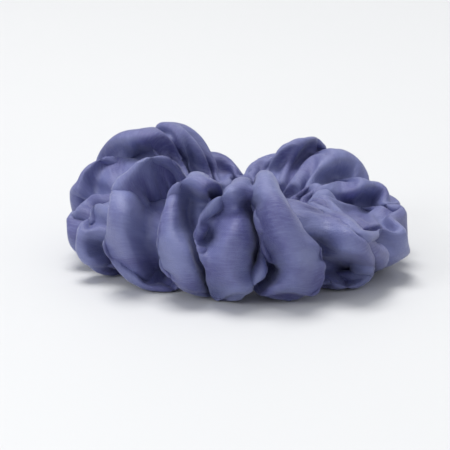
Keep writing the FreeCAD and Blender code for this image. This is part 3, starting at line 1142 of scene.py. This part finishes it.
@dataclass
class StitchRow:
    """A row of stitches along a line, made with geometry nodes."""

    name: str
    style: StitchStyle
    thread_radius: float = 0.18 * MM
    rise: float = 0.16 * MM
    smallest: float = 0.92
    largest: float = 1.06
    seed: int = 7

    def build(
        self, line: np.ndarray, facing: np.ndarray, thread: bpy.types.Material, closed: bool
    ) -> bpy.types.Object:
        """Sews the row.

        Args:
            line: the row's points.
            facing: the direction in which each stitch bows.
            thread: the thread's material.
            closed: whether the line's ends meet.

        Returns:
            The stitches as one mesh piece.
        """
        mesh = bpy.data.meshes.new(f"{self.name}_line")
        count = len(line)
        edges = [(i, (i + 1) % count) for i in range(count if closed else count - 1)]
        mesh.from_pydata(line.tolist(), edges, [])
        bow = mesh.attributes.new("bow", "FLOAT_VECTOR", "POINT")
        bow.data.foreach_set("vector", np.ascontiguousarray(facing, dtype=np.float32).ravel())
        pitch, share = self.style.value
        values = {
            "Pitch": pitch,
            "Stitch Length": pitch * share,
            "Thread Radius": self.thread_radius,
            "Rise": self.rise,
            "Seed": self.seed,
            "Thread": thread,
        }
        return run_tree(mesh, self.tree(), values, self.name)

    def tree(self) -> bpy.types.NodeTree:
        """The node tree: a bowed bit of thread at every pitch along the line.

        Returns:
            The tree.
        """
        sizes = ("Pitch", "Stitch Length", "Thread Radius", "Rise")
        sockets = {name: "Float" for name in sizes} | {"Seed": "Int", "Thread": "Material"}
        tree = open_tree(f"{self.name}_sewing", sockets, "Stitches")
        node = partial(add_node, tree)
        maths = partial(node, "ShaderNodeMath")
        given = node("NodeGroupInput").outputs

        half = maths({0: given["Stitch Length"], 1: 0.5}, operation="MULTIPLY").outputs[0]
        back = maths({0: half, 1: -1.0}, operation="MULTIPLY").outputs[0]
        under = maths({0: given["Rise"], 1: -2.2}, operation="MULTIPLY").outputs[0]
        over = maths({0: given["Rise"], 1: 2.2}, operation="MULTIPLY").outputs[0]
        begin = node("ShaderNodeCombineXYZ", {0: back, 2: under}).outputs[0]
        middle = node("ShaderNodeCombineXYZ", {2: over}).outputs[0]
        finish = node("ShaderNodeCombineXYZ", {0: half, 2: under}).outputs[0]
        ends = {"Resolution": 6, "Start": begin, "Middle": middle, "End": finish}
        bowed = node("GeometryNodeCurveQuadraticBezier", ends).outputs[0]
        round_section = {"Resolution": 6, "Radius": given["Thread Radius"]}
        ring = node("GeometryNodeCurvePrimitiveCircle", round_section).outputs[0]
        swept = {"Curve": bowed, "Profile Curve": ring, "Fill Caps": True}
        bit = node("GeometryNodeCurveToMesh", swept).outputs[0]

        run = node("GeometryNodeMeshToCurve", {0: given["Line"]}).outputs[0]
        every = {"Curve": run, "Length": given["Pitch"]}
        spaced = node("GeometryNodeResampleCurve", every, mode="LENGTH").outputs[0]
        heading = node("GeometryNodeInputTangent").outputs[0]
        bow = node("GeometryNodeInputNamedAttribute", {"Name": "bow"}, data_type="FLOAT_VECTOR").outputs[0]
        turned = partial(node, "FunctionNodeAlignRotationToVector")
        aimed = turned({"Vector": heading}, axis="X").outputs[0]
        upright = turned({"Rotation": aimed, "Vector": bow}, axis="Z", pivot_axis="X").outputs[0]
        bits = {
            "Points": spaced,
            "Instance": bit,
            "Rotation": upright,
            "Scale": self.uneven_size(node, given["Seed"]),
        }
        placed = node("GeometryNodeInstanceOnPoints", bits).outputs[0]
        real = node("GeometryNodeRealizeInstances", {0: placed}).outputs[0]
        smooth = node("GeometryNodeSetShadeSmooth", {0: real}).outputs[0]
        dress = {"Geometry": smooth, "Material": given["Thread"]}
        dressed = node("GeometryNodeSetMaterial", dress).outputs[0]
        node("NodeGroupOutput", {0: dressed})
        return tree

    def uneven_size(self, node: partial, seed: bpy.types.NodeSocket) -> bpy.types.NodeSocket:
        """A size for each stitch that is a little under or over one.

        Args:
            node: adds a node to the stitches' tree.
            seed: the socket that picks the sizes.

        Returns:
            The socket that holds the size.
        """
        chance = node("FunctionNodeRandomValue", {"Seed": seed}, data_type="FLOAT")
        for name, value in (("Min", self.smallest), ("Max", self.largest)):
            for socket in chance.inputs:
                if socket.name == name and socket.type == "VALUE":
                    socket.default_value = value
        return next(out for out in chance.outputs if out.type == "VALUE" and out.enabled)


@dataclass
class ElasticLoop:
    """The flat woven elastic: covered cords side by side, lapped where its ends are sewn."""

    radius: float = BAND_RADIUS
    width: float = 8.0 * MM
    thickness: float = 1.2 * MM
    lap: float = 14.0 * MM
    ramp: float = 3.0 * MM
    join_turn: float = 176.0
    height: float = BAND_HEIGHT
    cords: int = 8
    line_points: int = 260
    tack_rise: float = 2.2 * MM
    tack_points: int = 9

    def path(self) -> np.ndarray:
        """The middle line of the band, from its outer end round to its inner end.

        Returns:
            The line's points.
        """
        half, ramp = self.lap / 2 / self.radius, self.ramp / self.radius
        turns = np.linspace(-half, 2 * np.pi + half, self.line_points)
        climb = np.clip((half + ramp - turns) / ramp, 0, 1)
        radius = self.radius + self.thickness * climb * climb * (3 - 2 * climb)
        angle = turns + math.radians(self.join_turn)
        height = np.full(self.line_points, self.height)
        return np.stack([radius * np.cos(angle), radius * np.sin(angle), height], -1)

    def build(self, woven: bpy.types.Material) -> bpy.types.Object:
        """Makes the band.

        Args:
            woven: the elastic's material.

        Returns:
            The band.
        """
        line = self.path()
        mesh = bpy.data.meshes.new("band_line")
        mesh.from_pydata(line.tolist(), [(i, i + 1) for i in range(len(line) - 1)], [])
        values = {
            "Cords": self.cords,
            "Cord Pitch": self.width / self.cords,
            "Cord Radius": self.thickness / 2,
            "Elastic": woven,
        }
        return run_tree(mesh, self.tree(), values, "woven_elastic")

    def tree(self) -> bpy.types.NodeTree:
        """The node tree: cords of one radius at one pitch, swept along the band's line.

        Returns:
            The tree.
        """
        sockets = {"Cords": "Int", "Cord Pitch": "Float", "Cord Radius": "Float", "Elastic": "Material"}
        tree = open_tree("band_weaving", sockets, "Band")
        node = partial(add_node, tree)
        maths = partial(node, "ShaderNodeMath")
        given = node("NodeGroupInput").outputs

        gaps = maths({0: given["Cords"], 1: 1.0}, operation="SUBTRACT").outputs[0]
        span = maths({0: gaps, 1: given["Cord Pitch"]}, operation="MULTIPLY").outputs[0]
        edge = maths({0: span, 1: -0.5}, operation="MULTIPLY").outputs[0]
        first = node("ShaderNodeCombineXYZ", {1: edge}).outputs[0]
        step = node("ShaderNodeCombineXYZ", {1: given["Cord Pitch"]}).outputs[0]
        places = {"Count": given["Cords"], "Start Location": first, "Offset": step}
        row = node("GeometryNodeMeshLine", places, mode="OFFSET").outputs[0]
        round_section = {"Resolution": 8, "Radius": given["Cord Radius"]}
        ring = node("GeometryNodeCurvePrimitiveCircle", round_section).outputs[0]
        rings = node("GeometryNodeInstanceOnPoints", {"Points": row, "Instance": ring}).outputs[0]
        profile = node("GeometryNodeRealizeInstances", {0: rings}).outputs[0]

        run = node("GeometryNodeMeshToCurve", {0: given["Line"]}).outputs[0]
        level = node("GeometryNodeSetCurveNormal", {0: run}, mode="Z_UP").outputs[0]
        swept = {"Curve": level, "Profile Curve": profile, "Fill Caps": True}
        cords = node("GeometryNodeCurveToMesh", swept).outputs[0]
        real = node("GeometryNodeRealizeInstances", {0: cords}).outputs[0]
        smooth = node("GeometryNodeSetShadeSmooth", {0: real}).outputs[0]
        dress = {"Geometry": smooth, "Material": given["Elastic"]}
        dressed = node("GeometryNodeSetMaterial", dress).outputs[0]
        node("NodeGroupOutput", {0: dressed})
        return tree

    def tack_path(self) -> tuple[np.ndarray, np.ndarray]:
        """A zigzag over the lap, for the stitches that join it.

        Returns:
            The zigzag's points, and the outward direction at each.
        """
        half = 0.35 * self.lap / self.radius
        turns = np.linspace(-half, half, self.tack_points)
        corners = []
        for index, turn in enumerate(turns):
            angle = math.radians(self.join_turn) + turn
            radius = self.radius + self.thickness * 1.5 + 0.1 * MM
            rise = self.tack_rise if index % 2 else -self.tack_rise
            corners.append((radius * math.cos(angle), radius * math.sin(angle), self.height + rise))
        line = []
        for begin, end in zip(corners, corners[1:]):
            for share in np.linspace(0, 1, 6)[:-1]:
                line.append(np.array(begin) * (1 - share) + np.array(end) * share)
        line.append(np.array(corners[-1]))
        points = np.array(line)
        facing = points * np.array([1, 1, 0])
        return points, facing / np.linalg.norm(facing, axis=1)[:, None]


# ---------------------------------------------------------------- the studio


@dataclass
class Studio:
    """The pale table, its soft light, and the camera."""

    table_size: float = 6.0
    aim: tuple[float, float, float] = (-0.0053, 0.0, 0.0138)
    distance: float = 0.65
    elevation: float = 15.0
    lens: float = 150.0

    def build(self, table: bpy.types.Material) -> None:
        """Sets the studio up.

        Args:
            table: the table's material.
        """
        self.lay_table(table)
        self.hang_lights()
        self.place_camera()

    def lay_table(self, table: bpy.types.Material) -> None:
        """Lays the table, which curves up into a backdrop far behind."""
        half = self.table_size / 2
        profile = [(-half, 0.0), (half * 0.5, 0.0)]
        for step in range(1, 13):
            angle = math.radians(7.5 * step)
            profile.append((half * 0.5 + math.sin(angle), 1 - math.cos(angle)))
        profile.append((profile[-1][0], half))
        spots = [(x, y, z) for y, z in profile for x in (-half, half)]
        faces = [(2 * i, 2 * i + 1, 2 * i + 3, 2 * i + 2) for i in range(len(profile) - 1)]
        mesh = bpy.data.meshes.new("table")
        mesh.from_pydata(spots, [], faces)
        mesh.polygons.foreach_set("use_smooth", [True] * len(faces))
        mesh.materials.append(table)
        new_piece("table", mesh)

    def hang_lights(self) -> None:
        """Hangs a large soft lamp overhead and a weaker one on the left, in a bright white room."""
        for name, place, size, power, tint in (
            ("overhead", (-0.30, 0.40, 2.20), 1.1, 41.0, (1.0, 0.99, 0.98)),
            ("left_fill", (-0.8, -0.75, 0.60), 0.4, 3.4, (0.96, 0.98, 1.0)),
        ):
            lamp = bpy.data.lights.new(name, "AREA")
            lamp.energy, lamp.size, lamp.color = power, size, tint
            holder = bpy.data.objects.new(name, lamp)
            holder.location = place
            holder.rotation_euler = (-Vector(place)).to_track_quat("-Z", "Y").to_euler()
            bpy.context.scene.collection.objects.link(holder)
        room = bpy.data.worlds.new("white_room")
        room.use_nodes = True
        backdrop = room.node_tree.nodes["Background"]
        backdrop.inputs["Color"].default_value = (0.95, 0.97, 1.0, 1.0)
        backdrop.inputs["Strength"].default_value = 0.62
        bpy.context.scene.world = room
        bpy.context.scene.view_settings.view_transform = "Standard"

    def place_camera(self) -> None:
        """Places the camera low in front, with a long lens."""
        camera = bpy.data.cameras.new("camera")
        camera.lens, camera.sensor_width, camera.clip_start = self.lens, 36.0, 0.01
        holder = bpy.data.objects.new("camera", camera)
        tilt = math.radians(self.elevation)
        back = Vector((0.0, -math.cos(tilt), math.sin(tilt)))
        holder.location = Vector(self.aim) + back * self.distance
        holder.rotation_euler = (-back).to_track_quat("-Z", "Y").to_euler()
        bpy.context.scene.collection.objects.link(holder)
        bpy.context.scene.camera = holder


# ---------------------------------------------------------------- assembly


@dataclass
class Scrunchie:
    """The whole scrunchie."""

    cover: FabricCover = field(default_factory=FabricCover)
    elastic: ElasticLoop = field(default_factory=ElasticLoop)
    zone: StretchZone = field(default_factory=StretchZone)

    def build(self) -> list[bpy.types.Object]:
        """Makes every piece, hides the part that it stands for and bakes its place into its mesh.

        Returns:
            The pieces.
        """
        thread = Yarn("matched_thread", (0.060, 0.062, 0.190, 1.0), (0.110, 0.116, 0.290, 1.0)).build()
        white = Yarn("white_thread", (0.62, 0.60, 0.56, 1.0), (0.80, 0.79, 0.76, 1.0)).build()
        woven = self.elastic.build(WovenElastic().build())
        cloth = self.cover.build(Satin().build())
        closing_line, closing_facing = self.cover.seam_path(closing=True, lift=0.10 * MM)
        closing = StitchRow("closing_seam_stitches", StitchStyle.EDGE).build(
            closing_line, closing_facing, thread, closed=True
        )
        long_line, long_facing = self.cover.seam_path(closing=False, lift=-1.1 * MM)
        long_row = StitchRow("long_seam_stitches", StitchStyle.RUNNING).build(
            long_line, long_facing, thread, closed=True
        )
        tack_line, tack_facing = self.elastic.tack_path()
        tack = StitchRow("elastic_bar_tack", StitchStyle.TACK).build(
            tack_line, tack_facing, white, closed=False
        )

        for piece, node, slot in (
            (cloth, "fabric_cover", Slot.SATIN),
            (woven, "elastic_band", Slot.ELASTIC),
            (tack, "elastic_join_stitching", Slot.ELASTIC_THREAD),
            (closing, "closing_seam_thread", Slot.THREAD),
            (long_row, "long_seam_thread", Slot.THREAD),
        ):
            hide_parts(node)
            self.zone.spread(piece)
            LOG.info("%s: %d faces, stands for %s", piece.name, len(piece.data.polygons), node)
        self.cover.flat_size()
        return [cloth, woven, tack, closing, long_row]


def main() -> None:
    """Builds the scrunchie and the studio."""
    logging.basicConfig(level=logging.INFO, format="%(name)s: %(message)s")
    Scrunchie().build()
    Studio().build(PaleTable().build())


if __name__ == "__main__":
    main()
